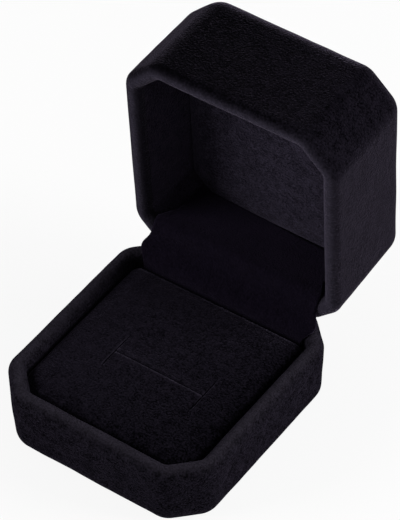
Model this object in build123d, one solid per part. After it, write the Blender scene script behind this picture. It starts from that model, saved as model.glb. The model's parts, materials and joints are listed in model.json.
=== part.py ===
from build123d import *
from math import cos, radians, sin, sqrt, tan
import os

# Ring box: an eight-sided case covered in velvet, with a hinged lid that stands open.
# Millimetres, +Z up. The origin is the middle of the underside, and +Y points to the hinge.

# The case, over its velvet
WIDTH = 52.0
DEPTH = 56.0
CORNER = 7.4  # leg of each cut corner
CORNER_ROUND = 5.5  # rounding of the upright edges
INNER_ROUND = 1.0  # least rounding of an inner upright edge
BASE_HEIGHT = 16.6
BASE_EDGE = 3.8  # rounding round the underside
BASE_DRAFT = 1.1  # degrees that the walls lean in
LID_HEIGHT = 26.3
LID_EDGE = 4.5  # rounding round the lid's roof
LID_DRAFT = 0.7
OPEN_ANGLE = 86.0  # from shut to standing open

# The layers of the walls
VELVET = 0.8  # pile and its backing, outside the shell and inside it
SHELL_WALL = 2.2
BASE_FLOOR = 3.2
LID_ROOF = 1.8
BASE_TURN_IN = 6.0  # how far the velvet runs down inside the rim
LID_TURN_IN = 5.0
HEM = 9.0  # the turned-in velvet under the base starts this far from the edge
SHEET = 0.5  # bottom sheet
SHEET_INSET = 5.0
LIP_FLAT = 0.1  # what is left flat on top of a rolled lip
SHUT_GAP = 0.3  # between the rims when the lid is down

# The ring pad, with two flaps over a pocket
FIT = 0.4  # a soft piece's gap to the wall round it
BOARD = 1.2  # card under the pad
PAD_CORNER = 2.6  # rounding of a pad's upright edges
PAD_VELVET = 0.6
PAD_TOP = 15.1
PAD_SETBACK = 4.6  # from the lined back wall to the pad's back edge
PAD_CROWN = 0.5
PAD_ROLL = 1.8  # rounding of the pad's upper edge
PAD_DRAFT = 1.5  # degrees that the pad's sides draw in
SLIT_X = 1.2
SLIT_Y = -4.4
FLAP_WIDTH = 22.0
FLAP_REACH = 5.0  # from a flap's bend line to the slit
FLAP_DEPTH = 2.2
SLIT_GAP = 0.3
FLAP_GAP = 0.15
POCKET_BED = 0.9  # foam left under the pocket

# The lid's ceiling
CEILING_DEPTH = 15.6  # from the lid's rim to the ceiling pad's face
CEILING_PAD = 4.5
CEILING_CROWN = 0.4
CEILING_ROLL = 1.5
TRAY_WALL = 1.0

# The hinge
HINGE_RISE = 1.2  # the axis above the base's rim
KNUCKLE = 1.05  # outer radius
PIN = 0.45  # radius
PIN_PLAY = 0.05
LEAF = 0.5  # thickness
LEAF_WIDTH = 24.0
LEAF_LENGTH = 9.5  # from the axis
KNUCKLES = 5  # the middle one is left out for the spring
KNUCKLE_GAP = 0.2
BAY_GAP = 0.3  # round the knuckles, and between the lid's bevel and the base's rim
LEAF_GAP = 0.15
RIVETS = 2
RIVET_PITCH = 16.0
RIVET_SHANK = 0.6
RIVET_HEAD = 1.1
RIVET_HEAD_HEIGHT = 0.35
RIVET_DEPTH = 1.5  # into the wall
RIVET_PLACE = 6.6  # from the axis
SPRING = 0.25
SPRING_WIDTH = 3.6
SPRING_ARM = 7.0
SPRING_PLAY = 0.1

# The velvet cover over the hinge: a glued root, a loose crease and a stiff panel in the lid
COVER = 0.6
COVER_PLAY = 0.25
COVER_RIDE = 5.8  # from the axis to the panel's middle plane
COVER_START = 0.9  # the panel's near edge, from the axis
COVER_END = 14.0  # and its far edge
COVER_END_RIDE = 2.0  # the far edge lies close over the lid's back lining
CREASE_BEND = (3.3, 4.3)  # Y and Z from the pad's back edge to the crease's bend
CREASE_STUB = 1.0  # straight length where it leaves the root and the panel
CREASE_ROUND = 1.0

HINGE_Y = DEPTH / 2 - VELVET - SHELL_WALL + KNUCKLE - LEAF
HINGE_Z = BASE_HEIGHT + HINGE_RISE
HINGE = Axis((0, HINGE_Y, HINGE_Z), (1, 0, 0))
INNER = VELVET + SHELL_WALL  # inset of the shell's inner face
LINED = INNER + VELVET  # inset of the lined face
PAD_BACK = DEPTH / 2 - LINED - PAD_SETBACK  # Y of the pad's back edge
FAR = WIDTH + DEPTH  # longer than anything that is cut


class Half:
    """The base or the lid as a cup standing on its closed end."""

    def __init__(self, rim, draft, edge, foot, floor, turn_in):
        self.rim, self.draft, self.edge = rim, draft, edge
        self.foot = foot
        self.skin_top = foot + VELVET
        self.floor = self.skin_top + floor
        self.turn_in = turn_in


BASE = Half(BASE_HEIGHT, BASE_DRAFT, BASE_EDGE, SHEET, BASE_FLOOR, BASE_TURN_IN)
LID = Half(LID_HEIGHT, LID_DRAFT, LID_EDGE, 0.0, LID_ROOF, LID_TURN_IN)
PAD_SEAT = BASE.floor + BOARD
POCKET_FLOOR = PAD_SEAT + POCKET_BED


def inner_leg(inset):
    """The leg of the cut corner of the outline that is drawn in by inset."""
    return CORNER - (2 - sqrt(2)) * inset


def plan(inset, rounding=0.0):
    """The case's outline, drawn in by inset on all eight sides."""
    box = Rectangle(WIDTH - 2 * inset, DEPTH - 2 * inset)
    cut = chamfer(box.vertices(), inner_leg(inset))
    return fillet(cut.vertices(), rounding or max(CORNER_ROUND - inset, INNER_ROUND))


def block(half, inset, top, bottom, edge=0.0):
    """A solid of the outline, true at the rim and leaning in below it, its foot rounded by edge."""
    lean = tan(radians(half.draft))
    start = plan(inset + lean * (half.rim - top))
    solid = extrude(Pos(0, 0, top) * start, top - bottom, dir=(0, 0, -1), taper=half.draft)
    if edge > 0:
        solid = fillet(solid.edges().group_by(Axis.Z)[0], edge)
    return solid


def cup(half, outer, inner, top, bottom, edge):
    """An open cup with a rolled rim."""
    body = block(half, outer, top, bottom, edge) - block(half, inner, top, half.floor)
    return fillet(body.edges().group_by(Axis.Z)[-1], (inner - outer - LIP_FLAT) / 2)


def moulded_shell(half):
    return cup(half, VELVET, INNER, half.rim - VELVET, half.skin_top, half.edge - VELVET)


def velvet_skin(half, shell):
    """The velvet over the outside, round the lip and a little way down inside."""
    skin = cup(half, 0, LINED, half.rim, half.foot, half.edge) - shell
    skin -= block(half, INNER, half.rim - half.turn_in, half.floor - VELVET)
    return skin


def cushion(outline, bottom, top, crown, roll, draft):
    """A pad with a crowned face, rolled upper edges and sides that draw in."""
    radius = (WIDTH / 2) ** 2 / (2 * crown)
    body = extrude(Pos(0, 0, bottom) * outline, top - bottom, taper=draft)
    body = fillet(body.edges().group_by(Axis.Z)[-1], roll)
    return body & Pos(0, 0, top - radius) * Sphere(radius)


def bar_x(radius, y, z, length, x=0.0):
    """A round bar that runs across the box."""
    return Pos(x, y, z) * Rot(0, 90, 0) * Cylinder(radius, length)


def slab(x, y, z):
    """A box from its lowest and highest X, Y and Z."""
    size = [b - a for a, b in (x, y, z)]
    return Pos(*[(a + b) / 2 for a, b in (x, y, z)]) * Box(*size)


def strip(path, thickness, width):
    """A sheet whose side view follows path in Y and Z, and which runs width across the box."""
    return extrude(Plane.YZ * trace(path, thickness), width / 2, both=True)


# ---- ring pad ----


def pad_outline(inset):
    """The inside of the base, with the pad's straight back edge and its round back corners."""
    lean = tan(radians(BASE_DRAFT)) * (BASE_HEIGHT - PAD_SEAT)
    side = LINED + FIT + lean + inset
    x, front, back = WIDTH / 2 - side, side - DEPTH / 2, PAD_BACK - inset
    leg = inner_leg(side)
    right = [(x - leg, front), (x, front + leg), (x, back)]
    left = [(-x, y) for x, y in reversed(right)]
    outline = make_face(Polyline(*right, *left, close=True))
    return fillet(outline.vertices(), PAD_CORNER)


def pad_form(inset):
    """The pad's form: inset 0 is its velvet's face, and PAD_VELVET is the foam inside."""
    roll = PAD_ROLL - inset
    return cushion(pad_outline(inset), PAD_SEAT, PAD_TOP - inset, PAD_CROWN, roll, PAD_DRAFT)


def flap_axis(side):
    """Y and Z of the line that a flap bends on; side is 1 for the rear flap."""
    return SLIT_Y + side * FLAP_REACH, PAD_TOP - FLAP_DEPTH / 2


def pad_pocket():
    """What the flaps sweep and the ring's band fills."""
    root = FLAP_DEPTH / 2 + FLAP_GAP
    half = FLAP_WIDTH / 2 + FLAP_GAP
    front, z = flap_axis(-1)
    rear, z = flap_axis(1)
    pocket = slab((-half, half), (front - root, rear + root), (POCKET_FLOOR, z))
    pocket += slab((-half, half), (front, rear), (z, PAD_TOP + FLAP_DEPTH))
    for y in (front, rear):
        pocket += bar_x(root, y, z, 2 * half)
    return Pos(SLIT_X, 0, 0) * pocket


def pad_flap(side):
    """One flap, with a round root on its bend line."""
    y, z = flap_axis(side)
    tip = SLIT_Y + side * SLIT_GAP / 2
    root = FLAP_DEPTH / 2
    half = FLAP_WIDTH / 2
    flap = slab((-half, half), sorted((y, tip)), (z - root, z + root))
    flap += bar_x(root, y, z, FLAP_WIDTH)
    radius = (WIDTH / 2) ** 2 / (2 * PAD_CROWN)
    return (Pos(SLIT_X, 0, 0) * flap) & Pos(0, 0, PAD_TOP - radius) * Sphere(radius)


# ---- hinge ----


def knuckle_span(index):
    """Middle and width of a knuckle, counted from -X."""
    pitch = LEAF_WIDTH / KNUCKLES
    return -LEAF_WIDTH / 2 + (index + 0.5) * pitch, pitch - KNUCKLE_GAP


def hinge_leaf(indices, up):
    """A leaf with its knuckles, in the shut position; up is 1 for the lid's and -1 for the base's."""
    inner = HINGE_Y - KNUCKLE
    clear = KNUCKLE + BAY_GAP
    ends = sorted((HINGE_Z + up * clear, HINGE_Z + up * LEAF_LENGTH))
    leaf = slab((-LEAF_WIDTH / 2, LEAF_WIDTH / 2), (inner, inner + LEAF), ends)
    for index in indices:
        x, width = knuckle_span(index)
        neck = sorted((HINGE_Z, HINGE_Z + up * clear))
        leaf += slab((x - width / 2, x + width / 2), (inner, inner + LEAF), neck)
        leaf += bar_x(KNUCKLE, HINGE_Y, HINGE_Z, width, x)
    leaf -= bar_x(PIN + PIN_PLAY, HINGE_Y, HINGE_Z, FAR)
    for shank in rivet_shanks(up):
        leaf -= shank
    return leaf


def across_wall(x, low_y, high_y, z, radius):
    """A round bar along Y."""
    return Pos(x, (low_y + high_y) / 2, z) * Rot(90, 0, 0) * Cylinder(radius, high_y - low_y)


def rivet_places(up):
    """X and Z of the rivets of a leaf."""
    middle = (RIVETS - 1) / 2
    return [((n - middle) * RIVET_PITCH, HINGE_Z + up * RIVET_PLACE) for n in range(RIVETS)]


def rivet_shanks(up):
    """The rivets' shanks, through the leaf and into the shell's wall."""
    face = HINGE_Y - KNUCKLE
    end = face + LEAF + RIVET_DEPTH
    return [across_wall(x, face, end, z, RIVET_SHANK) for x, z in rivet_places(up)]


def rivet_row(up):
    """Low round-headed rivets that hold a leaf to its shell."""
    face = HINGE_Y - KNUCKLE
    rivets = []
    for (x, z), shank in zip(rivet_places(up), rivet_shanks(up)):
        head = across_wall(x, face - RIVET_HEAD_HEIGHT, face, z, RIVET_HEAD)
        head = fillet(head.edges().group_by(Axis.Y)[0], 0.8 * RIVET_HEAD_HEIGHT)
        rivets.append(head + shank)
    return Compound(children=rivets)


def snap_spring():
    """A flat spring that lies on both leaves and bends round the pin, as it is with the lid open."""
    ride = KNUCKLE + SPRING_PLAY + SPRING / 2
    turn = 180 - OPEN_ANGLE
    foot = (HINGE_Y - ride, HINGE_Z - SPRING_ARM)
    top = (HINGE_Y - ride, HINGE_Z)
    far = (
        HINGE_Y + ride * cos(radians(turn)) + SPRING_ARM * sin(radians(turn)),
        HINGE_Z + ride * sin(radians(turn)) - SPRING_ARM * cos(radians(turn)),
    )
    arc = CenterArc((HINGE_Y, HINGE_Z), ride, 180, -OPEN_ANGLE)
    return strip(Line(foot, top) + arc + Line(arc @ 1, far), SPRING, SPRING_WIDTH)


# ---- the base ----


def leaf_window(up):
    """The room for a leaf in the lining and in the face of the shell."""
    half = LEAF_WIDTH / 2 + LEAF_GAP
    face = HINGE_Y - KNUCKLE + LEAF
    ends = sorted((HINGE_Z - up * KNUCKLE, HINGE_Z + up * (LEAF_LENGTH + LEAF_GAP)))
    return slab((-half, half), (PAD_BACK, face), ends)


def base_shell():
    shell = moulded_shell(BASE)
    shell -= leaf_window(-1)
    for shank in rivet_shanks(-1):
        shell -= shank
    return shell


def base_velvet():
    skin = velvet_skin(BASE, moulded_shell(BASE)) - leaf_window(-1)
    return skin - extrude(plan(HEM), BASE.floor)


def bottom_sheet():
    return extrude(plan(SHEET_INSET), SHEET)


def pad_board():
    return extrude(Pos(0, 0, BASE.floor) * pad_outline(0), BOARD)


def pad_foam():
    return pad_form(PAD_VELVET) - pad_pocket()


def pad_velvet():
    return pad_form(0) - pad_form(PAD_VELVET) - pad_pocket()


def cover_root():
    """The cover's lower end, glued down the pad's back."""
    y = PAD_BACK + COVER_PLAY + COVER / 2
    lean = tan(radians(BASE_DRAFT)) * (BASE_HEIGHT - PAD_SEAT)
    inside = extrude(Pos(0, 0, PAD_SEAT) * plan(LINED + COVER_PLAY + lean), FAR)
    return strip(Line((y, PAD_SEAT), (y, PAD_TOP)), COVER, FAR) & inside


def outside(half):
    """All that lies beyond the lined face of a half, from its floor to just over its rim."""
    lean = tan(radians(half.draft)) * (half.rim - half.floor)
    frame = Rectangle(FAR, FAR) - plan(LINED + COVER_PLAY + lean)
    return extrude(Pos(0, 0, half.floor) * frame, half.rim + COVER_PLAY - half.floor)


def cover_crease():
    """The loose velvet from the pad's back edge up over the hinge, with the lid open."""
    foot = (PAD_BACK + COVER_PLAY + COVER / 2, PAD_TOP)
    neck = (foot[0], foot[1] + CREASE_STUB)
    bend = (foot[0] + CREASE_BEND[0], foot[1] + CREASE_BEND[1])
    panel = panel_line()
    path = FilletPolyline(
        foot, neck, bend, panel @ 0 - CREASE_STUB * (panel % 0), panel @ 0, radius=CREASE_ROUND
    )
    crease = strip(path, COVER, 2 * cover_half())
    return crease - outside(BASE) - opened(shut(outside(LID)))


# ---- the lid ----


def open_point(y, z):
    """Where a point of the shut lid, given from the axis, comes to lie with the lid open."""
    turn = radians(OPEN_ANGLE)
    return (HINGE_Y + y * cos(turn) + z * sin(turn), HINGE_Z - y * sin(turn) + z * cos(turn))


def shut(solid):
    """From the lid standing on its roof to the lid shut over the base."""
    return Pos(0, 0, BASE_HEIGHT + SHUT_GAP + LID_HEIGHT) * Rot(180, 0, 0) * solid


def opened(solid):
    """From the shut lid to the open one."""
    return solid.rotate(HINGE, -OPEN_ANGLE)


def panel_line():
    """The middle of the cover's stiff part in the side view, with the lid open."""
    return Line(open_point(-COVER_RIDE, COVER_START), open_point(-COVER_END_RIDE, COVER_END))


def cover_half():
    """Half the cover's width, which meets the lined back corners of the lid."""
    height = DEPTH / 2 - LINED - (HINGE_Y - COVER_RIDE + COVER / 2)
    return WIDTH / 2 - LINED - inner_leg(LINED) + height - sqrt(2) * COVER_PLAY


def hinge_bay():
    """What the shut lid's rim leaves free round the knuckles and below its bevel."""
    slope = radians(OPEN_ANGLE / 2)
    clear = KNUCKLE + BAY_GAP
    start = (HINGE_Y - BAY_GAP * sin(slope), HINGE_Z + BAY_GAP * cos(slope))
    reach = DEPTH / 4
    end = (start[0] + reach * cos(slope), start[1] + reach * sin(slope))
    low = BASE_HEIGHT - KNUCKLE
    side = Polyline(start, end, (end[0], low), (start[0], low), close=True)
    bay = extrude(Plane.YZ * make_face(side), FAR / 2, both=True)
    half = LEAF_WIDTH / 2 + BAY_GAP
    bay += bar_x(clear, HINGE_Y, HINGE_Z, 2 * half)
    bay += slab((-half, half), (PAD_BACK, HINGE_Y), (low, HINGE_Z))
    return bay + leaf_window(1)


def lid_shell():
    shell = shut(moulded_shell(LID)) - hinge_bay()
    for shank in rivet_shanks(1):
        shell -= shank
    return opened(shell)


def lid_velvet():
    return opened(shut(velvet_skin(LID, moulded_shell(LID))) - hinge_bay())


def lid_liner():
    """The velvet strip round the inside, from the turned-in edge to the roof."""
    top = LID.rim - LID.turn_in
    ring = block(LID, INNER, top, LID.floor) - block(LID, LINED, top, LID.floor)
    return opened(shut(ring) - hinge_bay())


CEILING_FACE = LID_HEIGHT - CEILING_DEPTH
TRAY_TOP = CEILING_FACE - CEILING_PAD


def ceiling_outline(inset):
    lean = tan(radians(LID_DRAFT)) * (LID.rim - LID.floor)
    return plan(LINED + FIT + lean + inset, PAD_CORNER)


def ceiling_tray():
    """A card tray that stands on the roof and holds the ceiling pad at its height."""
    height = TRAY_TOP - LID.floor
    tray = extrude(Pos(0, 0, LID.floor) * ceiling_outline(0), height)
    tray -= extrude(Pos(0, 0, LID.floor) * ceiling_outline(TRAY_WALL), height - TRAY_WALL)
    return opened(shut(tray))


def ceiling_form(inset):
    roll = CEILING_ROLL - inset
    top = CEILING_FACE - inset
    return cushion(ceiling_outline(inset), TRAY_TOP, top, CEILING_CROWN, roll, PAD_DRAFT)


def ceiling_foam():
    return opened(shut(ceiling_form(PAD_VELVET)))


def ceiling_velvet():
    return opened(shut(ceiling_form(0) - ceiling_form(PAD_VELVET)))


def cover_panel():
    """The cover's stiff part, from the crease over the hinge down to the lid's back lining."""
    panel = strip(panel_line(), COVER, 2 * cover_half())
    return panel - opened(shut(outside(LID)))


PARTS = {
    "base_shell": base_shell,
    "base_velvet": base_velvet,
    "bottom_sheet": bottom_sheet,
    "pad_board": pad_board,
    "pad_foam": pad_foam,
    "pad_velvet": pad_velvet,
    "pad_flap_rear": lambda: pad_flap(1),
    "pad_flap_front": lambda: pad_flap(-1),
    "hinge_base_leaf": lambda: hinge_leaf((0, KNUCKLES - 1), -1),
    "hinge_base_rivets": lambda: rivet_row(-1),
    "hinge_pin": lambda: bar_x(PIN, HINGE_Y, HINGE_Z, LEAF_WIDTH),
    "snap_spring": snap_spring,
    "cover_root": cover_root,
    "cover_crease": cover_crease,
    "cover_panel": cover_panel,
    "hinge_lid_leaf": lambda: opened(hinge_leaf((1, KNUCKLES - 2), 1)),
    "hinge_lid_rivets": lambda: opened(rivet_row(1)),
    "lid_shell": lid_shell,
    "lid_velvet": lid_velvet,
    "lid_liner": lid_liner,
    "ceiling_tray": ceiling_tray,
    "ceiling_foam": ceiling_foam,
    "ceiling_velvet": ceiling_velvet,
}

os.makedirs("parts", exist_ok=True)
for name, make in PARTS.items():
    solid = make()
    export_step(solid, f"parts/{name}.step")
    print(f"{name}: {solid.volume:.1f} mm3")
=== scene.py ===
import json
import math

import bmesh
import bpy
import numpy as np
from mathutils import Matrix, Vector


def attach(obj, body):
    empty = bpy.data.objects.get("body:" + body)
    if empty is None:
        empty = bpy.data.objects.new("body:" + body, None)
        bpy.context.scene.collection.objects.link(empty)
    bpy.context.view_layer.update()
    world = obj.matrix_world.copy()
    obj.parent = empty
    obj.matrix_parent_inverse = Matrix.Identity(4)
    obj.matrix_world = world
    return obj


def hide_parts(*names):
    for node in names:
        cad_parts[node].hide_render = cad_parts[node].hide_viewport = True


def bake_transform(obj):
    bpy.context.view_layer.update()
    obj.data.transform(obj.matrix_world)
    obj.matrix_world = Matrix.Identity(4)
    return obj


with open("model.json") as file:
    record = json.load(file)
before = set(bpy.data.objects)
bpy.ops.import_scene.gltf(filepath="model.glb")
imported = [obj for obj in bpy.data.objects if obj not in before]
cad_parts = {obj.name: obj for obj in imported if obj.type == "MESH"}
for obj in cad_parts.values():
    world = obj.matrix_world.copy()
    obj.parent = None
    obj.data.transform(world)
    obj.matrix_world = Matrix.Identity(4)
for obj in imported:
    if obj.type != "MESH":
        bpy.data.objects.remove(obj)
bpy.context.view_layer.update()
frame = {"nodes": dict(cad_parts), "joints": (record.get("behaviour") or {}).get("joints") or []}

# ---------------------------------------------------------------------------
# Camera: stands high in front of the box's right-hand corner, as far off as a
# long lens asks for, so the box's upright edges stay nearly parallel.

EYE = Vector((0.2524, -0.3498, 0.4797))
AIM = Vector((-0.0059, 0.0205, 0.0236))
LENS = 211.4

camera_data = bpy.data.cameras.new("camera")
camera_data.sensor_width = 36.0
camera_data.lens = LENS
camera_data.clip_start, camera_data.clip_end = 0.01, 10.0
camera = bpy.data.objects.new("camera", camera_data)
bpy.context.scene.collection.objects.link(camera)
camera.location = EYE
camera.rotation_euler = (AIM - EYE).to_track_quat("-Z", "Y").to_euler()
bpy.context.scene.camera = camera
bpy.context.scene.view_settings.view_transform = "Standard"

# ---------------------------------------------------------------------------
# Table and light: a white table top, an even white tent round the box, a wide
# soft lamp at the left of the camera and a second one at the box's right.

TENT_LEVEL = 0.24
LAMP_SIZE = 0.5
LAMPS = {
    "lamp_left": ((-0.60, -0.62, 0.35), 7.2),
    "lamp_right": ((0.79, 0.40, 0.32), 10.8),
}
TABLE_SIZE = 3.0
TABLE_WHITE = (0.93, 0.93, 0.93)
TABLE_GLOW = 0.88  # the share of plain white that the camera sees in it, which leaves a soft shadow


def combine(tree, operation, first, second):
    """The value of a Math node. Its first input is a socket, its second a socket or a number."""
    node = tree.nodes.new("ShaderNodeMath")
    node.operation = operation
    tree.links.new(first, node.inputs[0])
    if isinstance(second, float):
        node.inputs[1].default_value = second
    else:
        tree.links.new(second, node.inputs[1])
    return node.outputs[0]


def seen_as_white(tree, shader, white, share):
    """Shows a share of plain white in place of a shader, to camera, glossy and transmission rays."""
    path = tree.nodes.new("ShaderNodeLightPath")
    reach = path.outputs["Is Camera Ray"]
    for ray in ("Is Glossy Ray", "Is Transmission Ray"):
        reach = combine(tree, "MAXIMUM", reach, path.outputs[ray])
    white.inputs["Color"].default_value = (1, 1, 1, 1)
    white.inputs["Strength"].default_value = 1.0
    mix = tree.nodes.new("ShaderNodeMixShader")
    tree.links.new(combine(tree, "MULTIPLY", reach, share), mix.inputs[0])
    tree.links.new(shader.outputs[0], mix.inputs[1])
    tree.links.new(white.outputs[0], mix.inputs[2])
    end = next(node for node in tree.nodes if node.name.endswith("Output"))
    tree.links.new(mix.outputs[0], end.inputs["Surface"])


world = bpy.data.worlds.new("tent")
world.use_nodes = True
bpy.context.scene.world = world
tent = world.node_tree.nodes["Background"]
tent.inputs["Color"].default_value = (1, 1, 1, 1)
tent.inputs["Strength"].default_value = TENT_LEVEL
seen_as_white(world.node_tree, tent, world.node_tree.nodes.new("ShaderNodeBackground"), 1.0)

for lamp_name, (place, power) in LAMPS.items():
    lamp_data = bpy.data.lights.new(lamp_name, "AREA")
    lamp_data.size = LAMP_SIZE
    lamp_data.energy = power
    lamp = bpy.data.objects.new(lamp_name, lamp_data)
    bpy.context.scene.collection.objects.link(lamp)
    lamp.location = place
    lamp.rotation_euler = (AIM - Vector(place)).to_track_quat("-Z", "Y").to_euler()

table_corners = np.array([(-1, -1, 0), (1, -1, 0), (1, 1, 0), (-1, 1, 0)]) * TABLE_SIZE / 2
table_mesh = bpy.data.meshes.new("table")
table_mesh.from_pydata(table_corners.tolist(), [], [(0, 1, 2, 3)])
table_top = bpy.data.objects.new("table", table_mesh)
bpy.context.scene.collection.objects.link(table_top)
table_paint = bpy.data.materials.new("table_white")
table_paint.use_nodes = True
table_shader = table_paint.node_tree.nodes["Principled BSDF"]
table_shader.inputs["Base Color"].default_value = (*TABLE_WHITE, 1)
table_shader.inputs["Roughness"].default_value = 0.9
table_shader.inputs["Specular IOR Level"].default_value = 0.1
table_light = table_paint.node_tree.nodes.new("ShaderNodeEmission")
seen_as_white(table_paint.node_tree, table_shader, table_light, TABLE_GLOW)
table_mesh.materials.append(table_paint)

# ---------------------------------------------------------------------------
# Base velvet: one skin of black velvet glued round the moulded tray. It is turned
# under the foot as a hem, rolls over the rim and runs a little way down inside.

MM = 0.001
HALF_WIDTH, HALF_DEPTH = 26.0 * MM, 28.0 * MM
CASE_CORNER, CASE_ROUND = 7.4 * MM, 5.5 * MM
WALL, VELVET = 3.8 * MM, 0.8 * MM
ROUND_STEPS = 560  # points round the case
BASE_RIM, BASE_FOOT = 16.6 * MM, 0.5 * MM
BASE_EDGE = 3.8 * MM
BASE_LEAN = math.tan(math.radians(1.1))
BASE_TURN_IN, BASE_HEM = 6.0 * MM, 9.0 * MM
PILE_WAVES = ((0.10 * MM, 6.0 * MM), (0.05 * MM, 1.7 * MM))
LEAF_HALF = 12.15 * MM  # half the width of the hinge's leaves, with its clearance
PRESSED = 0.12  # the share of its thickness that velvet keeps where metal lies on it
SHARP_ANGLE = math.radians(50.0)


def outline(headings, reaches, rounding):
    """An outline with straight sides and round corners, from each side's heading and its distance
    from the middle. It is kept as corner centres over its length: a point drawn in by inset is
    centre + (rounding - inset) times its heading, and the heading turns only while the centre rests."""
    first, second = np.asarray(headings), np.roll(headings, -1)
    near, far = np.asarray(reaches) - rounding, np.roll(reaches, -1) - rounding
    turn = (second - first) % (2 * math.pi)
    x = (near * np.sin(second) - far * np.sin(first)) / np.sin(turn)
    y = (far * np.cos(first) - near * np.cos(second)) / np.sin(turn)
    straight = np.hypot(x - np.roll(x, 1), y - np.roll(y, 1))
    along = np.concatenate([[0], np.cumsum(np.stack([straight, rounding * turn], 1).ravel())])
    stops_x = np.concatenate([[x[-1]], np.repeat(x, 2)])
    stops_y = np.concatenate([[y[-1]], np.repeat(y, 2)])
    turned = first[0] + np.concatenate([[0], np.cumsum(turn)])
    return along, stops_x, stops_y, np.repeat(turned, 2)[:-1]


def ring_of(stops, along):
    """Corner centres and headings of an outline at these places along it."""
    return [np.interp(along, stops[0], stop) for stop in stops[1:]]


def carried(profile, ring, rounding):
    """A profile of (inset, height) carried round an outline: point = centre + (rounding - inset) times
    the heading. Past the rounding, the drawn-in ring shrinks in proportion, to a point at half the
    outline's width."""
    cx, cy, heading = ring
    inset, height = profile[:, 0], profile[:, 1]
    least = 0.15 * rounding
    held = np.minimum(inset, rounding - least)
    reach = (rounding - held)[None, :]
    x = cx[:, None] + reach * np.cos(heading)[:, None]
    y = cy[:, None] + reach * np.sin(heading)[:, None]
    shrink = 1 - (inset - held) / (np.abs(cx).max() + least)
    return np.stack([x * shrink, y * shrink, np.broadcast_to(height, x.shape)], -1)


def arc_points(centre, radius, start, stop, steps):
    """Points of an arc, from start to stop in degrees; 0 points to the outside and 90 points up."""
    a = np.radians(np.linspace(start, stop, steps))
    return np.stack([centre[0] - radius * np.cos(a), centre[1] + radius * np.sin(a)], 1)


def line_points(a, b, steps):
    """Points from a to b, without a itself."""
    t = np.linspace(0, 1, steps + 1)[1:, None]
    return np.asarray(a) * (1 - t) + np.asarray(b) * t


def surface(name, points, close_u=True, close_v=False, splay_and_painted_light=None):
    """A mesh of four-sided faces through a grid of points, with its poles merged and its faces
    turned outwards. The last argument gives, from 0 to 1, how much lighter the velvet is painted
    at each point: partly pile that stands apart at a bend, partly painted highlight and painted light."""
    rows, columns = points.shape[:2]
    index = np.arange(rows * columns).reshape(rows, columns)
    if close_u:
        index = np.concatenate([index, index[:1]], 0)
    if close_v:
        index = np.concatenate([index, index[:, :1]], 1)
    corners = [index[:-1, :-1], index[1:, :-1], index[1:, 1:], index[:-1, 1:]]
    mesh = bpy.data.meshes.new(name)
    mesh.from_pydata(points.reshape(-1, 3).tolist(), [], np.stack(corners, -1).reshape(-1, 4).tolist())
    if splay_and_painted_light is not None:
        kept = mesh.attributes.new("splay_and_painted_light", "FLOAT", "POINT")
        kept.data.foreach_set("value", np.broadcast_to(splay_and_painted_light, points.shape[:2]).ravel())
    work = bmesh.new()
    work.from_mesh(mesh)
    bmesh.ops.remove_doubles(work, verts=work.verts, dist=1e-7)
    bmesh.ops.dissolve_degenerate(work, edges=work.edges, dist=1e-8)
    bmesh.ops.recalc_face_normals(work, faces=work.faces)
    work.to_mesh(mesh)
    work.free()
    mesh.shade_smooth()
    mesh.set_sharp_from_angle(angle=SHARP_ANGLE)
    piece = bpy.data.objects.new(name, mesh)
    bpy.context.scene.collection.objects.link(piece)
    return piece


def ripple(points, waves, seed):
    """Soft unevenness: the sum over waves, each a depth and a length, of the depth times the mean
    of six sines that run in scattered directions. Each wave counts the seed up by one."""
    total = 0.0
    for number, (depth, length) in enumerate(waves):
        draw = np.random.default_rng(seed + number)
        directions = draw.normal(size=(6, 3)) / length
        shift = draw.uniform(0, 2 * math.pi, 6)
        total = total + depth * np.sin(points @ directions.T + shift).mean(-1)
    return total


def grid_normals(points):
    """Unit normals of a grid that closes on itself both ways, from its neighbours' differences."""
    du = np.roll(points, -1, 0) - np.roll(points, 1, 0)
    dv = np.roll(points, -1, 1) - np.roll(points, 1, 1)
    normal = np.cross(du, dv)
    return normal / np.maximum(np.linalg.norm(normal, axis=-1, keepdims=True), 1e-12)


def skin_profile(rim, foot, edge, lean, turn_in, hem):
    """The velvet's section, from the hem under the foot, up the leaning wall, over the lip and down
    inside, then back along the shell: a closed loop of (inset, height)."""
    def side(inset):
        lip = (WALL - 2 * inset) / 2
        shoulder = rim - inset - lip
        radius = edge - inset
        low = foot + inset
        out = inset + lean * (rim - foot)
        return [
            line_points((hem, low), (out + radius, low), 8),
            arc_points((out + radius, low + radius), radius, -90, 0, 15)[1:],
            line_points((out, low + radius), (inset, shoulder), 26),
            arc_points((inset + lip, shoulder), lip, 0, 180, 25)[1:],
            line_points((WALL - inset, shoulder), (WALL - inset + lean * turn_in, rim - turn_in), 9),
        ]

    outer = np.concatenate([[(hem, foot)], *side(0.0)])
    inner = np.concatenate([[(hem, foot + VELVET)], *side(VELVET)])
    return np.concatenate([outer, inner[::-1]])


def lip_splay_and_highlight(profile, rim, peak, width):
    """How far the velvet is painted lighter along a section, partly for pile that stands apart and
    partly as a painted highlight: most on the rolled lip, at peak between its outer and inner side,
    and gone a wall's width below the rim."""
    over = np.clip(1 - (rim - profile[:, 1]) / WALL, 0, 1)
    across = np.exp(-(((profile[:, 0] / WALL - peak) / width) ** 2))
    return over**2 * across


def new_finish(name):
    """A new material, with its node tree, its shader and the Object coordinates for its grain."""
    material = bpy.data.materials.new(name)
    material.use_nodes = True
    tree = material.node_tree
    place = tree.nodes.new("ShaderNodeTexCoord").outputs["Object"]
    return material, tree, tree.nodes["Principled BSDF"], place


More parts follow.
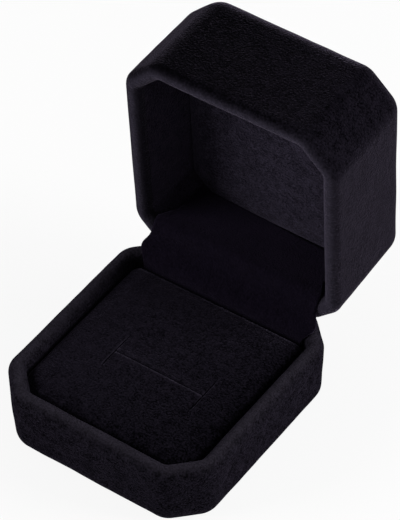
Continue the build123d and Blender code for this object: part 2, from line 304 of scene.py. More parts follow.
def grain(tree, place, scale, detail=2.0, roughness=0.5):
    """The value of a noise texture, read at these coordinates."""
    noise = tree.nodes.new("ShaderNodeTexNoise")
    noise.inputs["Scale"].default_value = scale
    noise.inputs["Detail"].default_value = detail
    noise.inputs["Roughness"].default_value = roughness
    tree.links.new(place, noise.inputs["Vector"])
    return noise.outputs["Fac"]


def two_tones(tree, value, ends, colours):
    """The first colour at the lower end of a value, the second at the upper end, and mixed between."""
    ramp = tree.nodes.new("ShaderNodeValToRGB")
    for stop, position, colour in zip(ramp.color_ramp.elements, ends, colours):
        stop.position = position
        stop.color = (*colour, 1)
    tree.links.new(value, ramp.inputs["Fac"])
    return ramp.outputs["Color"]


def emboss(tree, shader, value, strength, distance):
    """Bumps the shader's surface by a value."""
    bump = tree.nodes.new("ShaderNodeBump")
    bump.inputs["Strength"].default_value = strength
    bump.inputs["Distance"].default_value = distance
    tree.links.new(value, bump.inputs["Height"])
    tree.links.new(bump.outputs["Normal"], shader.inputs["Normal"])


def velvet(name, deep, pile, sheen, spread=0.35, strength=0.9, nap=(0.42, 0.62), painted_light_way=None, lip=None):
    """Cotton velvet: near-black pile with a fine grain, and soft patches where the nap lies another
    way, under a sheen that is strongest where the pile is seen from its side. nap gives the two
    heights of the grain between which it goes from deep to pile. The way given after nap paints
    light and shade: it makes the velvet lighter by degrees that way. lip is the lighter colour
    painted in where a piece's attribute asks for it: partly pile that stands apart at a bend,
    partly a painted highlight and painted light. Each piece gets its own colours, set to the light
    that falls on it: painted light and shade."""
    material, tree, shader, place = new_finish(name)
    tufts = tree.nodes.new("ShaderNodeMix")
    tufts.inputs["Factor"].default_value = 0.25
    tree.links.new(grain(tree, place, 2300.0, roughness=0.7), tufts.inputs["A"])
    tree.links.new(grain(tree, place, 520.0), tufts.inputs["B"])
    height = tufts.outputs["Result"]
    emboss(tree, shader, height, strength, 0.0005)

    # Painted light and shade: the way given after nap makes the colour lighter by degrees along it.
    lie_and_painted_light = height
    if painted_light_way:
        way = tree.nodes.new("ShaderNodeVectorMath")
        way.operation = "DOT_PRODUCT"
        way.inputs[1].default_value = painted_light_way
        tree.links.new(place, way.inputs[0])
        lie_and_painted_light = combine(tree, "ADD", height, way.outputs["Value"])
    colour = two_tones(tree, lie_and_painted_light, nap, (deep, pile))
    # Painted lighter where a piece's attribute asks: partly pile that stands apart at bends, partly
    # painted highlight and painted light.
    if lip:
        apart_and_lit = tree.nodes.new("ShaderNodeAttribute")
        apart_and_lit.attribute_name = "splay_and_painted_light"
        open_pile_and_light = tree.nodes.new("ShaderNodeMix")
        open_pile_and_light.data_type = "RGBA"
        # A Mix node's colour sockets share their names with others, so they go by number.
        share, closed, opened_and_lit = (open_pile_and_light.inputs[socket] for socket in (0, 6, 7))
        tree.links.new(combine(tree, "MULTIPLY", apart_and_lit.outputs["Fac"], height), share)
        tree.links.new(colour, closed)
        opened_and_lit.default_value = (*lip, 1)
        colour = open_pile_and_light.outputs[2]
    tree.links.new(colour, shader.inputs["Base Color"])

    shader.inputs["Roughness"].default_value = 0.95
    shader.inputs["Specular IOR Level"].default_value = 0.0
    shader.inputs["Sheen Weight"].default_value = 1.0
    shader.inputs["Sheen Roughness"].default_value = spread
    shader.inputs["Sheen Tint"].default_value = (*sheen, 1)
    return material


# Painted light and shade: the base's velvet colours and sheen are set apart from the other pieces'
# velvet to match the light on the base, with far less sheen than the lid's.
BASE_VELVET = velvet(
    "base_velvet_look",
    (0.0001, 0.0001, 0.0002),
    (0.0102, 0.0086, 0.0135),
    (0.033, 0.0285, 0.041),
    nap=(0.40, 0.64),
    lip=(0.034, 0.030, 0.041),
)

corner_reach = (HALF_WIDTH + HALF_DEPTH - CASE_CORNER) / math.sqrt(2)
case_outline = outline(
    np.arange(8) * math.pi / 4,
    [HALF_WIDTH, corner_reach, HALF_DEPTH, corner_reach] * 2,
    CASE_ROUND,
)
case_ring = ring_of(case_outline, np.linspace(0, case_outline[0][-1], ROUND_STEPS, endpoint=False))


def velvet_form(profile, seed):
    """A skin's grid: the section carried round the outline, with the soft unevenness of glued pile."""
    grid = carried(profile, case_ring, CASE_ROUND)
    return grid - grid_normals(grid) * ripple(grid, PILE_WAVES, seed)[..., None]


base_section = skin_profile(BASE_RIM, BASE_FOOT, BASE_EDGE, BASE_LEAN, BASE_TURN_IN, BASE_HEM)
base_grid = velvet_form(base_section, 3)

# The hinge's leaf presses the turned-in velvet flat against the rear wall.
leaf_back = HALF_DEPTH - WALL + VELVET
behind = np.abs(base_grid[..., 0]) < LEAF_HALF
behind &= (base_grid[..., 1] > leaf_back - 2 * VELVET) & (base_grid[..., 1] < leaf_back)
flattened = leaf_back - PRESSED * (leaf_back - base_grid[..., 1])
base_grid[..., 1] = np.where(behind, flattened, base_grid[..., 1])

# The rolled lip is painted lighter: partly pile that stands apart over the roll, partly a painted
# highlight where the lip catches the light.
base_splay_and_highlight = lip_splay_and_highlight(base_section, BASE_RIM, 0.5, 0.42)
base_skin = surface("base_velvet_skin", base_grid, close_v=True, splay_and_painted_light=base_splay_and_highlight)
base_skin.data.materials.append(BASE_VELVET)
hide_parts("base_velvet")
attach(base_skin, "base")

# ---------------------------------------------------------------------------
# Moulded parts: the tray under the velvet and the lid's shell are black injection
# mouldings with a dull, faintly mottled skin.


def waver(tree, shader, value, roughness, spread):
    """Lets the shader's roughness go by spread to both sides of its mean, with a value."""
    span = tree.nodes.new("ShaderNodeMapRange")
    span.inputs["To Min"].default_value = roughness - spread
    span.inputs["To Max"].default_value = roughness + spread
    tree.links.new(value, span.inputs["Value"])
    tree.links.new(span.outputs["Result"], shader.inputs["Roughness"])


def moulding(name, colour, roughness):
    """Moulded plastic: an even colour with a fine mottled skin."""
    material, tree, shader, place = new_finish(name)
    shader.inputs["Base Color"].default_value = (*colour, 1)
    mottle = grain(tree, place, 1500.0)
    waver(tree, shader, mottle, roughness, 0.08)
    emboss(tree, shader, mottle, 0.15, 0.0001)
    return material


def wear_material(node_names, material):
    """Gives CAD nodes a finish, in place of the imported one."""
    for node_name in node_names:
        for material_slot in frame["nodes"][node_name].material_slots:
            material_slot.material = material


wear_material(["base_shell", "lid_shell"], moulding("shell_moulding", (0.012, 0.012, 0.014), 0.55))

# ---------------------------------------------------------------------------
# Paper and card: a black paper sheet is glued over the hem under the foot, and
# grey card stiffens the pad and holds up the padded ceiling.


def drawn_out(tree, place, scale):
    """Coordinates scaled along X, Y and Z: a pattern read there is drawn out where the scale is low."""
    stretch = tree.nodes.new("ShaderNodeMapping")
    stretch.inputs["Scale"].default_value = scale
    tree.links.new(place, stretch.inputs["Vector"])
    return stretch.outputs["Vector"]


def card_stock(name, colour, fleck):
    """Pressed card: short flecks of lighter and darker fibre in a dull sheet."""
    material, tree, shader, place = new_finish(name)
    fibre = grain(tree, drawn_out(tree, place, (1.0, 0.35, 1.0)), 1800.0, detail=5.0)
    shades = [[c * (1 + side * fleck) for c in colour] for side in (-1, 1)]
    tree.links.new(two_tones(tree, fibre, (0.0, 1.0), shades), shader.inputs["Base Color"])
    emboss(tree, shader, fibre, 0.3, 0.00008)
    shader.inputs["Roughness"].default_value = 0.85
    shader.inputs["Specular IOR Level"].default_value = 0.2
    return material


wear_material(["bottom_sheet"], card_stock("foot_paper", (0.022, 0.022, 0.024), 0.3))
wear_material(["pad_board", "ceiling_tray"], card_stock("grey_card", (0.16, 0.155, 0.145), 0.2))

# ---------------------------------------------------------------------------
# Ring pad: a foam block under a velvet cover, crowned, with rolled edges, pressed into
# the tray. It is cut through in an H over a pocket, and the two tongues bend down.

PAD_TOP, PAD_LOW = 15.1 * MM, 5.7 * MM
PAD_HALF, PAD_FRONT, PAD_BACK = 22.0 * MM, -24.0 * MM, 19.75 * MM
PAD_LEG, PAD_CORNER = 4.7 * MM, 2.6 * MM
PAD_ROLL = 1.8 * MM
PAD_CROWN_RADIUS = 0.676
PAD_SHOULDER = PAD_TOP - PAD_ROLL - 0.55 * MM
PAD_CLEAR, PAD_WAIST = 0.1 * MM, 0.3 * MM  # off the outline at top and foot, and more at mid height
PAD_RIDES_UP = 0.7 * MM  # in its back right corner
PAD_WAVES = ((0.07 * MM, 5.0 * MM), (0.03 * MM, 1.3 * MM))
SLIT_X, SLIT_Y = 1.2 * MM, -4.4 * MM
SLIT = np.array([SLIT_X, SLIT_Y])
TONGUE_HALF = 11.0 * MM
CUT_GAP = 0.13 * MM
CUT_WEAR = 0.2 * MM  # how far the slit's two short cuts are worn down
POCKET_LOW = 6.6 * MM
POCKET_WIDER = 1.2 * MM
BENDS = {j["child"]: j["pos_m"][1] for j in frame["joints"] if j["name"].endswith("flap_bend")}
BLOWN_UP = 10.0  # cloth this small is blown up at ten times its size
AIR = 4.0
AIR_FRAMES = 20
AIR_CELLS = 24
AIR_VOXEL = 0.007
SWELL_CAP = 0.35 * MM


def swell_of(grid):
    """How far a pad's face swells when air is let in: a copy ten times the size, remeshed evenly, is
    blown up as cloth with its lower half held, and the rise of its face, capped, is averaged in
    cells of X and Y. Returned as a function that reads those cells in between."""
    low, high = grid.reshape(-1, 3).min(0), grid.reshape(-1, 3).max(0)
    edges = [np.linspace(low[i] - MM, high[i] + MM, AIR_CELLS + 1) for i in (0, 1)]
    rise = np.zeros((AIR_CELLS, AIR_CELLS))
    form = surface("form_for_air", grid * BLOWN_UP)
    even = form.modifiers.new("even", "REMESH")
    even.mode = "VOXEL"
    even.voxel_size = AIR_VOXEL
    view = bpy.context.evaluated_depsgraph_get()
    bag_mesh = bpy.data.meshes.new_from_object(form.evaluated_get(view))
    bag = bpy.data.objects.new("bag_of_air", bag_mesh)
    bpy.context.scene.collection.objects.link(bag)
    rest = np.empty(len(bag_mesh.vertices) * 3)
    bag_mesh.vertices.foreach_get("co", rest)
    rest = rest.reshape(-1, 3)
    middle = (low[2] + high[2]) / 2 * BLOWN_UP
    held = bag.vertex_groups.new(name="held")
    held.add(np.flatnonzero(rest[:, 2] < middle).tolist(), 1.0, "REPLACE")
    cloth = bag.modifiers.new("air", "CLOTH")
    cloth.settings.use_pressure = True
    cloth.settings.uniform_pressure_force = AIR
    cloth.settings.vertex_group_mass = "held"
    cloth.settings.effector_weights.gravity = 0
    for frame_number in range(1, AIR_FRAMES + 1):
        bpy.context.scene.frame_set(frame_number)
    view = bpy.context.evaluated_depsgraph_get()
    blown = np.empty_like(rest).ravel()
    bag.evaluated_get(view).data.vertices.foreach_get("co", blown)
    up = np.clip((blown.reshape(-1, 3) - rest)[:, 2] / BLOWN_UP, 0, SWELL_CAP)
    face = rest[:, 2] > middle
    x, y = rest[face, 0] / BLOWN_UP, rest[face, 1] / BLOWN_UP
    total = np.histogram2d(x, y, edges, weights=up[face])[0]
    rise = total / np.maximum(np.histogram2d(x, y, edges)[0], 1)
    bpy.context.scene.frame_set(1)
    for used in (bag, form):
        bpy.data.objects.remove(used)

    def swell(x, y):
        u = np.clip((x - edges[0][0]) / (edges[0][1] - edges[0][0]) - 0.5, 0, AIR_CELLS - 1.001)
        v = np.clip((y - edges[1][0]) / (edges[1][1] - edges[1][0]) - 0.5, 0, AIR_CELLS - 1.001)
        i, j = u.astype(int), v.astype(int)
        f, g = u - i, v - j
        near = rise[i, j] * (1 - g) + rise[i, j + 1] * g
        return near * (1 - f) + (rise[i + 1, j] * (1 - g) + rise[i + 1, j + 1] * g) * f

    return swell


def crown(x, y):
    """The pad's face before air: a very flat dome."""
    return PAD_TOP - (x**2 + y**2) / (2 * PAD_CROWN_RADIUS)


pad_corner_reach = (PAD_HALF - PAD_FRONT - PAD_LEG) / math.sqrt(2)
pad_outline = outline(
    np.radians([0, 90, 180, 225, 270, 315]),
    [PAD_HALF, PAD_BACK, PAD_HALF, pad_corner_reach, -PAD_FRONT, pad_corner_reach],
    PAD_CORNER,
)
WINDOW_HALF = np.array([TONGUE_HALF + CUT_GAP, (BENDS["pad_flap_rear"] - BENDS["pad_flap_front"]) / 2])
WINDOW = WINDOW_HALF * [[1, 1], [-1, 1], [-1, -1], [1, -1]] + SLIT


def pad_columns(steps):
    """Places along the pad's outline, and the point of the window's edge that each is joined to:
    each side of the window faces the stretch of outline that lies in the same direction."""
    length = pad_outline[0][-1]
    dense = np.linspace(0, length, 2000, endpoint=False)
    cx, cy, turn = ring_of(pad_outline, dense)
    x, y = cx + PAD_CORNER * np.cos(turn) - SLIT_X, cy + PAD_CORNER * np.sin(turn) - SLIT_Y
    angle = np.unwrap(np.arctan2(y, x))
    wanted = np.arctan2(*(WINDOW - SLIT).T[::-1])
    wanted = angle[0] + (wanted - angle[0]) % (2 * math.pi)
    start = np.interp(wanted, angle, dense)
    end = np.roll(start, -1)
    end = np.where(end < start, end + length, end)
    t = np.linspace(0, 1, steps // 4, endpoint=False)
    along = (start[:, None] * (1 - t) + end[:, None] * t).ravel() % length
    edge = WINDOW[:, None] * (1 - t)[:, None] + np.roll(WINDOW, -1, 0)[:, None] * t[:, None]
    return along, edge.reshape(-1, 2)


def ring_pad_grid(steps=560, window=True):
    """The pad as one closed skin: under the pad, up its side, over the roll, across the face to the
    mouth of the pocket, and down the pocket's walls to its floor. With it comes how much lighter the
    velvet is painted: a painted highlight on the back edge, more to the right, and along the
    pocket's cut ends, pile that stands apart with a painted highlight."""
    along, mouth = pad_columns(steps)
    cx, cy, turn = ring_of(pad_outline, along)
    flat = np.ones(steps)
    rows, splay_and_painted_light = [], []

    def add(row, apart_and_lit=0.0):
        rows.append(row)
        splay_and_painted_light.append(apart_and_lit * flat)

    def ring(inset, z):
        held = min(inset, 0.8 * PAD_CORNER)
        shrink = 1 - (inset - held) / PAD_HALF
        x = (cx + (PAD_CORNER - held) * np.cos(turn)) * shrink
        y = (cy + (PAD_CORNER - held) * np.sin(turn)) * shrink
        return np.stack([x, y, z * flat], 1)

    # A painted highlight along the pad's back edge, stronger to the right.
    back_edge_highlight = (np.abs(turn - math.pi / 2) < 0.02) * np.clip(0.5 + 0.8 * cx / PAD_HALF, 0.1, 1)
    add(ring(0, PAD_LOW) * [0, 0, 1])
    for t in (0.9, 0.5, 0.1):
        add(ring(PAD_HALF * t, PAD_LOW))
    for t in np.linspace(0, 1, 9):
        waist = PAD_WAIST * math.sin(math.pi * t)
        add(ring(PAD_CLEAR + waist, PAD_LOW + t * (PAD_SHOULDER - PAD_LOW)))
    for a in np.linspace(8, 90, 14):
        over = ring(PAD_CLEAR + PAD_ROLL * (1 - math.cos(math.radians(a))), 0.0)
        rise = (crown(over[:, 0], over[:, 1]) - PAD_SHOULDER) * math.sin(math.radians(a))
        over[:, 2] = PAD_SHOULDER + rise
        add(over, back_edge_highlight * math.exp(-(((a - 58) / 14) ** 2)))
    edge = rows[-1][:, :2]
    inner = mouth if window else mouth * 0 + SLIT
    from_middle = np.abs(mouth - SLIT) / WINDOW_HALF
    end_cut = (from_middle[:, 0] > 0.999) * (1 - from_middle[:, 1] ** 6) * window
    for t in np.concatenate([np.linspace(0, 0.955, 44)[1:], [0.97, 0.985, 0.995, 1.0]]):
        spot = edge * (1 - t) + inner * t
        # The cut ends are worn down, and painted lighter: partly pile that stands apart at the cut,
        # partly a painted highlight.
        worn = end_cut * max(0.0, (t - 0.955) / 0.045)
        top = crown(spot[:, 0], spot[:, 1]) - CUT_WEAR * worn**2
        add(np.column_stack([spot, top]), worn)
    if window:
        out = np.sign(mouth - SLIT) * [0, POCKET_WIDER]
        for depth in (0.02, 0.06, 0.3, 0.6, 1.0):
            z = PAD_TOP + (POCKET_LOW - PAD_TOP) * depth
            add(np.column_stack([mouth + out * min(1.0, 12 * depth), z * flat]))
        floor = rows[-1]
        for t in (0.5, 1.0):
            add(floor * [1 - t, 1 - t, 1] + [SLIT_X * t, SLIT_Y * t, 0])
    return np.stack(rows, 1), np.stack(splay_and_painted_light, 1)


# Painted light and shade: the pad's velvet colours are set apart from the other pieces' velvet to match
# the light it gets, and the way after nap paints it lighter towards the left and back and darker towards
# the right and front.
PAD_VELVET = velvet(
    "pad_velvet_look",
    (0.0002, 0.0002, 0.0003),
    (0.0118, 0.0099, 0.0159),
    (0.075, 0.064, 0.096),
    strength=0.75,
    nap=(0.36, 0.70),
    painted_light_way=(-2.6, 0.9, 0.0),
    lip=(0.036, 0.031, 0.046),
)

pad_swell = swell_of(ring_pad_grid(240, window=False)[0])


def pad_rise(points):
    """What air and wear add to the pad's face at these points: it also rides up at the back right."""
    x, y = points[..., 0], points[..., 1]
    ride = PAD_RIDES_UP * np.clip(x / PAD_HALF, 0, 1) * np.clip(y / PAD_BACK, 0, 1)
    return pad_swell(x, y) + ripple(points * [1, 1, 0], PAD_WAVES, 11) + ride


pad_grid, pad_splay_and_highlight = ring_pad_grid()
pad_grid[..., 2] += pad_rise(pad_grid) * np.clip((pad_grid[..., 2] - PAD_SHOULDER) / PAD_ROLL, 0, 1)
ring_pad = surface("ring_pad", pad_grid, splay_and_painted_light=pad_splay_and_highlight)
ring_pad.data.materials.append(PAD_VELVET)
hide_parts("pad_foam", "pad_velvet")
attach(ring_pad, "base")

# ---------------------------------------------------------------------------
# Pad tongues: the two flaps that the H-shaped cut leaves in the foam and its velvet.
# They meet over the pocket, and bend down at their roots when a ring is pressed in.

TONGUE_THICK, TONGUE_ROOT = 2.1 * MM, 0.7 * MM
TONGUE_WEAR = 0.22 * MM


def pad_tongue(name, body, lift, tilt, open_edge_and_highlight):
    """A flap of the pad: a slab over X and Y, flush with the pad's face at its bend line. Its free
    edge stands a hair proud by lift, more at one end by tilt, and its three cut edges are soft.
    The last argument says how far the free edge is painted lighter: partly pile that stands apart
    there, partly a painted highlight."""
    bend_y = BENDS[body]
    way = math.copysign(1.0, SLIT_Y - bend_y)
    across = np.concatenate([[-1], np.linspace(-0.992, 0.992, 119), [1]])
    u, v = np.meshgrid(across, np.linspace(0, 1, 31), indexing="ij")
    x = SLIT_X + u * TONGUE_HALF
    y = bend_y + way * (abs(bend_y - SLIT_Y) - CUT_GAP) * v
    top = np.stack([x, y, crown(x, y)], -1)
    worn = np.clip((np.abs(u) - 0.96) / 0.04, 0, 1) ** 2 * np.clip(8 * v, 0, 1)
    worn = worn + 0.6 * np.clip((v - 0.95) / 0.05, 0, 1) ** 2
    top[..., 2] += pad_rise(top) + (lift + tilt * u) * v**5 - TONGUE_WEAR * worn
    # The free edge and the side cuts are painted lighter: partly pile that stands apart at the cut,
    # partly a painted highlight.
    apart_and_lit = open_edge_and_highlight * np.exp(-(((1 - v) / 0.08) ** 2))
    apart_and_lit = apart_and_lit + 0.5 * np.exp(-(((1 - np.abs(u)) / 0.02) ** 2)) * v
    apart_and_lit = np.concatenate([apart_and_lit, 0 * apart_and_lit], 1)
    under = top.copy()
    under[..., 2] -= np.minimum(TONGUE_THICK, TONGUE_ROOT + 8 * MM * v)
    loop = np.concatenate([top, under[:, ::-1]], 1)
    middle = loop.mean(1, keepdims=True) + 0 * loop
    grid = np.concatenate([middle[:1], loop, middle[-1:]], 0)
    apart_and_lit = np.concatenate([0 * apart_and_lit[:1], apart_and_lit, 0 * apart_and_lit[:1]], 0)
    tongue = surface(name, grid, close_u=False, close_v=True, splay_and_painted_light=apart_and_lit)
    tongue.data.materials.append(PAD_VELVET)
    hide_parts(body)
    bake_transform(tongue)


# The front tongue's free edge gets the stronger painted highlight.
pad_tongue("rear_tongue", "pad_flap_rear", 0.22 * MM, -0.04 * MM, 0.1)
pad_tongue("front_tongue", "pad_flap_front", -0.02 * MM, 0.04 * MM, 1.0)

# ---------------------------------------------------------------------------
# Hinge metal: two stamped leaves with rolled knuckles on a drawn pin, low round
# rivets and a blued flat spring. They show only in the gap at the back.


def rolled_steel(name, colour, roughness, streak):
    """Sheet steel, streaked along the way it was rolled."""
    material, tree, shader, place = new_finish(name)
    shader.inputs["Metallic"].default_value = 1.0
    shader.inputs["Base Color"].default_value = (*colour, 1)
    lines = grain(tree, drawn_out(tree, place, (0.05, 1.0, 1.0)), 6000.0)
    waver(tree, shader, lines, roughness, streak)
    return material


hinge_nodes = ["hinge_base_leaf", "hinge_lid_leaf", "hinge_pin", "hinge_base_rivets", "hinge_lid_rivets"]
wear_material(hinge_nodes, rolled_steel("hinge_sheet", (0.52, 0.51, 0.49), 0.38, 0.1))
wear_material(["snap_spring"], rolled_steel("spring_sheet", (0.22, 0.24, 0.30), 0.3, 0.08))

# ---------------------------------------------------------------------------
# Hinge cover: one strip of velvet, glued down behind the pad. It leans back over the
# hinge as loose cloth and ends as a card-stiffened panel inside the lid.

COVER_PATH = np.array([
    (20.15, 6.0), (20.15, 10.0), (20.15, 14.5), (20.6, 16.3), (22.1, 17.9),
    (23.6, 19.6), (24.6, 21.6), (25.2, 23.2), (26.4, 23.6), (28.5, 23.0),
    (32.0, 22.15), (36.0, 21.3), (39.6, 20.7),
]) * MM
COVER_HALF, COVER_ROOT_HALF = 20.9 * MM, 20.2 * MM
COVER_SPREADS, COVER_DRAWS_IN = 1.2 * MM, 2.2 * MM  # on each side, at the rims and inside the lid
COVER_SAG = 0.35 * MM
COVER_TILT = 0.045
COVER_THICK = 0.6 * MM
COVER_WAVES = ((0.08 * MM, 4.0 * MM),)


def smooth_path(points, steps):
    """A uniform cubic B-spline along the points, its first and last points held."""
    held = np.concatenate([points[:1], points[:1], points, points[-1:], points[-1:]])
    t = np.linspace(0, len(held) - 3 - 1e-9, steps)
    k = t.astype(int)
    f = (t - k)[:, None]
    return (
        (1 - f) ** 3 * held[k]
        + (3 * f**3 - 6 * f**2 + 4) * held[k + 1]
        + (-3 * f**3 + 3 * f**2 + 3 * f + 1) * held[k + 2]
        + f**3 * held[k + 3]
    ) / 6


def cover_grid(across=90, along=120):
    """The strip as a grid: its path in Y and Z, spread in X to a width that grows out of the tuck,
    stands widest at the rims and draws in inside the lid. The loose part sags a little between its
    edges, and the panel lies higher on the left."""
    path = smooth_path(COVER_PATH, along)
    u = np.linspace(-1, 1, across)[:, None]
    tucked = np.clip((path[:, 1] - 14.5 * MM) / (3 * MM), 0, 1)[None, :]
    half = COVER_ROOT_HALF + (COVER_HALF - COVER_ROOT_HALF) * tucked
    half = half + COVER_SPREADS * np.exp(-(((path[:, 1] - 18 * MM) / (1.6 * MM)) ** 2))
    half = half - COVER_DRAWS_IN * np.clip((path[:, 0] - 26.5 * MM) / (4 * MM), 0, 1)
    x = u * half
    loose = np.exp(-(((path[:, 0] - 23.5 * MM) / (2.5 * MM)) ** 2))[None, :]
    sag = COVER_SAG * loose * (1 - u**2)
    far = np.clip((path[:, 0] - 26 * MM) / (13 * MM), 0, 1)[None, :]
    y = path[:, 0] + sag
    z = path[:, 1] - sag + COVER_TILT * far * (COVER_HALF - x)
    return np.stack([x, y, z], -1)


# Painted light: the cover's velvet is a lightened copy, with a raised deep colour, to lift the shade it
# lies in under the lid.
COVER_VELVET = velvet(
    "cover_velvet_look",
    (0.0020, 0.0015, 0.0030),
    (0.0076, 0.0056, 0.0112),
    (0.030, 0.024, 0.040),
    spread=0.5,
    nap=(0.30, 0.80),
    lip=(0.018, 0.0135, 0.0265),
)

cover_points = cover_grid()
cover_points[..., 2] += ripple(cover_points, COVER_WAVES, 21)
# The part inside the lid is painted lighter with the lip colour: painted light that lifts the lid's
# shade there.
inside_lid_painted_light = 0.7 * np.clip((cover_points[..., 1] - 25 * MM) / (5 * MM), 0, 1)
cover = surface("hinge_cover", cover_points, close_u=False, splay_and_painted_light=inside_lid_painted_light)
thicken = cover.modifiers.new("pile", "SOLIDIFY")
thicken.thickness = COVER_THICK
thicken.offset = 0.0
bpy.context.view_layer.objects.active = cover
bpy.ops.object.modifier_apply(modifier="pile")
cover.data.materials.append(COVER_VELVET)
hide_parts("cover_root", "cover_crease", "cover_panel")
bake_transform(cover)

# ---------------------------------------------------------------------------
# Lid velvet: the same velvet over the lid's shell, rolled over its rim. Along the
# hinge the lip is pressed back to a bevel, which leaves room for the base's rim.

LID_RIM = 26.3 * MM
LID_EDGE = 4.5 * MM
LID_LEAN = math.tan(math.radians(0.7))
LID_TURN_IN = 2.3 * MM
SHUT_GAP = 0.3 * MM  # between the two rims
BEVEL_GAP = 0.3 * MM
KNUCKLE_BAY = 1.45 * MM  # the radius that stays free round the pin
LEAF_NOTCH = 0.8 * MM  # how high over the pin the notch for the base's leaf reaches
LEAF_NOTCH_Y, LEAF_NOTCH_REACH = -1.2 * MM, 1.3 * MM
LID_HINGE = next(j for j in frame["joints"] if j["name"] == "lid_hinge")
AXIS_Y, AXIS_Z = LID_HINGE["pos_m"][1:]
OPEN_ANGLE = math.radians(LID_HINGE["range_deg"][1])


def shut_lid(points):
    """From the lid standing on its roof to the lid shut: a half turn about X, then up."""
    x, y, z = points[..., 0], points[..., 1], points[..., 2]
    return np.stack([x, -y, BASE_RIM + SHUT_GAP + LID_RIM - z], -1)


def open_lid(points):
    """From the shut lid to the open one: a turn about the hinge's axis."""
    y, z = points[..., 1] - AXIS_Y, points[..., 2] - AXIS_Z
    c, s = math.cos(OPEN_ANGLE), math.sin(OPEN_ANGLE)
    return np.stack([points[..., 0], AXIS_Y + y * c + z * s, AXIS_Z - y * s + z * c], -1)


def hinge_bevel(points):
    """Pushes what lies below the lid's bevel up to it, lifts the turned-in edge clear of the base's
    leaf, and pushes what lies in the knuckles' bay out of it."""
    half = OPEN_ANGLE / 2
    off_middle = np.abs(points[..., 0])
    y, z = points[..., 1] - AXIS_Y, points[..., 2] - AXIS_Z
    below = (z - BEVEL_GAP / math.cos(half)) - y * math.tan(half)
    push = np.where((y > -0.1 * MM) & (below < 0), -below, 0) * math.cos(half)
    y = y - push * math.sin(half)
    z = z + push * math.cos(half)
    by_leaf = (off_middle < LEAF_HALF + 0.3 * MM) & (np.abs(y - LEAF_NOTCH_Y) < LEAF_NOTCH_REACH)
    z = np.where(by_leaf & (z < LEAF_NOTCH), LEAF_NOTCH + PRESSED * (z - LEAF_NOTCH), z)
    radius = np.hypot(y, z)
    inside = (off_middle < LEAF_HALF) & (radius < KNUCKLE_BAY)
    grow = np.where(inside, KNUCKLE_BAY / np.maximum(radius, 1e-6), 1.0)
    return np.stack([points[..., 0], AXIS_Y + y * grow, AXIS_Z + z * grow], -1)


# Painted light and shade: the lid's velvet has far more sheen than the other pieces', and the way after
# nap paints it lighter towards the right, where the right wall takes the light, and darker towards the
# left.
LID_VELVET = velvet(
    "lid_velvet_look",
    (0.0001, 0.0001, 0.0002),
    (0.0080, 0.0067, 0.0106),
    (0.155, 0.134, 0.185),
    spread=0.3,
    strength=0.75,
    nap=(0.44, 0.74),
    painted_light_way=(4.6, 0.0, 0.0),
    lip=(0.040, 0.035, 0.052),
)

lid_section = skin_profile(LID_RIM, 0.0, LID_EDGE, LID_LEAN, LID_TURN_IN, HALF_WIDTH)
lid_grid = open_lid(hinge_bevel(shut_lid(velvet_form(lid_section, 31))))

# The lip is painted lighter, partly for pile that stands apart there and partly as a painted
# highlight. A painted highlight runs once more along the inside of the right lip, and painted
# light lifts the turned-in velvet where it meets the lining.
right_highlight_share = np.clip(np.cos(case_ring[2]), 0, 1)[:, None] ** 2
turned_in_painted_light = np.exp(-(((lid_section[:, 0] / WALL - 1) / 0.25) ** 2)) * (lid_section[:, 1] > 20 * MM)
lid_splay_and_painted_light = lip_splay_and_highlight(lid_section, LID_RIM, 0.5, 0.32)
lid_splay_and_painted_light = lid_splay_and_painted_light + 0.9 * right_highlight_share * lip_splay_and_highlight(lid_section, LID_RIM, 0.82, 0.14) + 0.4 * turned_in_painted_light
lid_skin = surface("lid_velvet_skin", lid_grid, splay_and_painted_light=lid_splay_and_painted_light)
lid_skin.data.materials.append(LID_VELVET)
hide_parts("lid_velvet")
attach(lid_skin, "lid")

# ---------------------------------------------------------------------------
# Lid lining: a strip of the same velvet on card, pressed in round the inside. Its edge
# is butted against the turned-in lip, and lies a hair behind it.

LINING_BACK, LINING_FACE = 3.0 * MM, 4.0 * MM
LINING_TAPER = 0.26 * MM
LINING_LOW, LINING_TOP = 2.6 * MM, 23.9 * MM
EDGE_BREAK = 0.05 * MM

LINING_SECTION = np.concatenate([
    line_points((LINING_BACK, LINING_LOW), (LINING_FACE - EDGE_BREAK, LINING_LOW), 2),
    line_points(
        (LINING_FACE, LINING_LOW + EDGE_BREAK),
        (LINING_FACE - LINING_TAPER, LINING_TOP - EDGE_BREAK),
        34,
    ),
    [(LINING_BACK + EDGE_BREAK, LINING_TOP + EDGE_BREAK)],
    line_points((LINING_BACK, LINING_TOP), (LINING_BACK, LINING_LOW), 9)[:-1],
])

# Painted light: the lining's velvet is a much lighter copy than the lid's, to lift the shade inside the
# lid, and the way after nap paints it lighter towards the bottom, where that shade is deepest.
LINING_VELVET = velvet(
    "lining_velvet_look",
    (0.0010, 0.0008, 0.0014),
    (0.0270, 0.0216, 0.0362),
    (0.090, 0.075, 0.116),
    nap=(0.158, 0.458),
    painted_light_way=(0.0, 0.0, -4.4),
)

lining_grid = carried(LINING_SECTION, case_ring, CASE_ROUND)
lining = surface("lid_lining", open_lid(hinge_bevel(shut_lid(lining_grid))), close_v=True)
lining.data.materials.append(LINING_VELVET)
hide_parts("lid_liner")
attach(lining, "lid")

# ---------------------------------------------------------------------------
# Ceiling pad: thin foam under velvet, wrapped over a card tray and pressed into the
# lid, softly crowned, with a rolled edge all round.

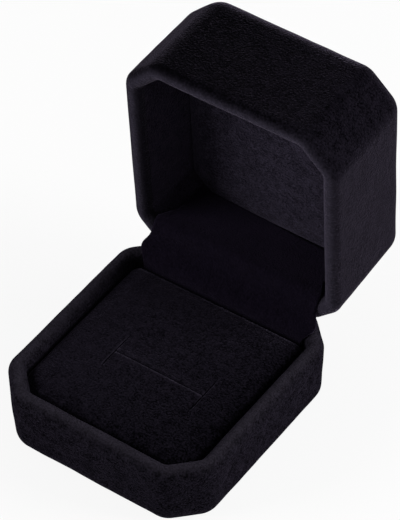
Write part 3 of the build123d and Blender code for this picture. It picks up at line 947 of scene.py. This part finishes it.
CEILING_INSET = 4.15 * MM
CEILING_FACE, CEILING_LOW = 11.2 * MM, 6.2 * MM
CEILING_ROLL, CEILING_DOME = 2.2 * MM, 0.4 * MM
CEILING_WAVES = ((0.08 * MM, 6.0 * MM),)

# Painted light and shade: the ceiling's velvet colours are set apart from the other pieces' velvet to
# match the light that falls into the lid.
CEILING_VELVET = velvet(
    "ceiling_velvet_look",
    (0.0006, 0.0005, 0.0008),
    (0.0212, 0.0180, 0.0286),
    (0.062, 0.053, 0.081),
    spread=0.55,
)


def ceiling_grid():
    """The pad as one closed skin, from the middle of its back, round its edge to the middle of its
    face, which rises towards the middle as a flat dome. With it comes how far each point belongs
    to the face."""
    shoulder = CEILING_FACE - CEILING_ROLL - CEILING_DOME
    brow = CEILING_INSET + CEILING_ROLL
    section = np.concatenate([
        [(HALF_WIDTH, CEILING_LOW)],
        line_points((HALF_WIDTH, CEILING_LOW), (CEILING_INSET, CEILING_LOW), 12),
        line_points((CEILING_INSET, CEILING_LOW), (CEILING_INSET, shoulder), 6),
        arc_points((brow, shoulder), CEILING_ROLL, 0, 90, 12)[1:],
        line_points((brow, shoulder + CEILING_ROLL), (HALF_WIDTH, shoulder + CEILING_ROLL), 40),
    ])
    grid = carried(section, case_ring, CASE_ROUND)
    flat = grid[..., :2] / np.array([HALF_WIDTH, HALF_DEPTH])
    dome = CEILING_DOME * np.clip(1 - (flat**2).sum(-1), 0, 1)
    face = np.clip((grid[..., 2] - shoulder) / CEILING_ROLL, 0, 1)
    grid[..., 2] += face * (dome + ripple(grid, CEILING_WAVES, 41))
    return grid, face


ceiling_form, ceiling_face = ceiling_grid()
ceiling_swell = swell_of(ceiling_form)
ceiling_form[..., 2] += ceiling_face * ceiling_swell(ceiling_form[..., 0], ceiling_form[..., 1])
ceiling_pad = surface("ceiling_pad", open_lid(shut_lid(ceiling_form)))
ceiling_pad.data.materials.append(CEILING_VELVET)
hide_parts("ceiling_foam", "ceiling_velvet")
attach(ceiling_pad, "lid")
